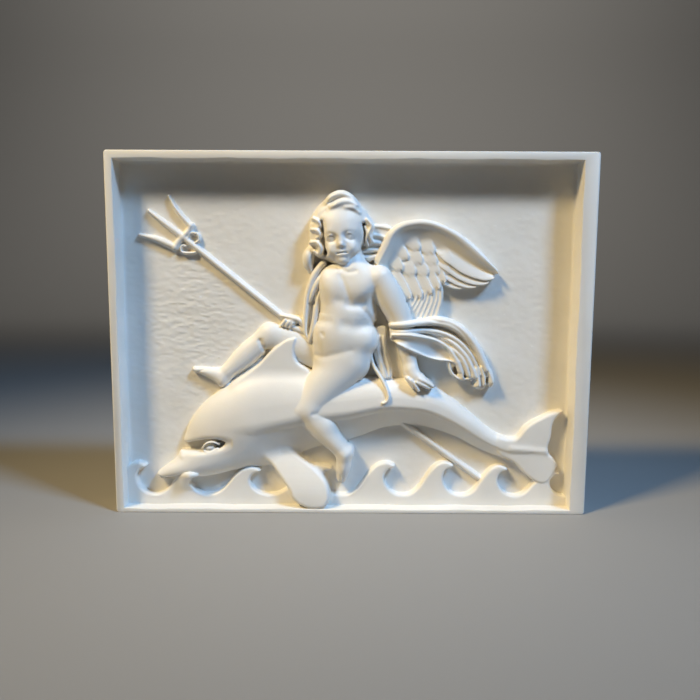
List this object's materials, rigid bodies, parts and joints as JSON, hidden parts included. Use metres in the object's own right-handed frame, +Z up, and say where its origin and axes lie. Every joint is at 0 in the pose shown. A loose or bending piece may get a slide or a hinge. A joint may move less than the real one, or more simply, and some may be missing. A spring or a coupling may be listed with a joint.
{
  "type": "relief plaque",
  "caption": "Rectangular cast plaque with a raised rim and a relief of a winged child riding a dolphin over waves with a trident.",
  "frame": {"origin": "middle of the plaque's bounding box, on the bottom edge that it stands on", "axes": "+X to the right along the long side, +Z up, the carved front faces -Y and the flat back +Y"},
  "size_m": [0.2, 0.0206, 0.151],
  "materials": {
    "cast_stone": "smooth satin casting stone"
  },
  "bodies": {
    "root": {"relief_plaque": "cast_stone"}
  },
  "joints": []
}
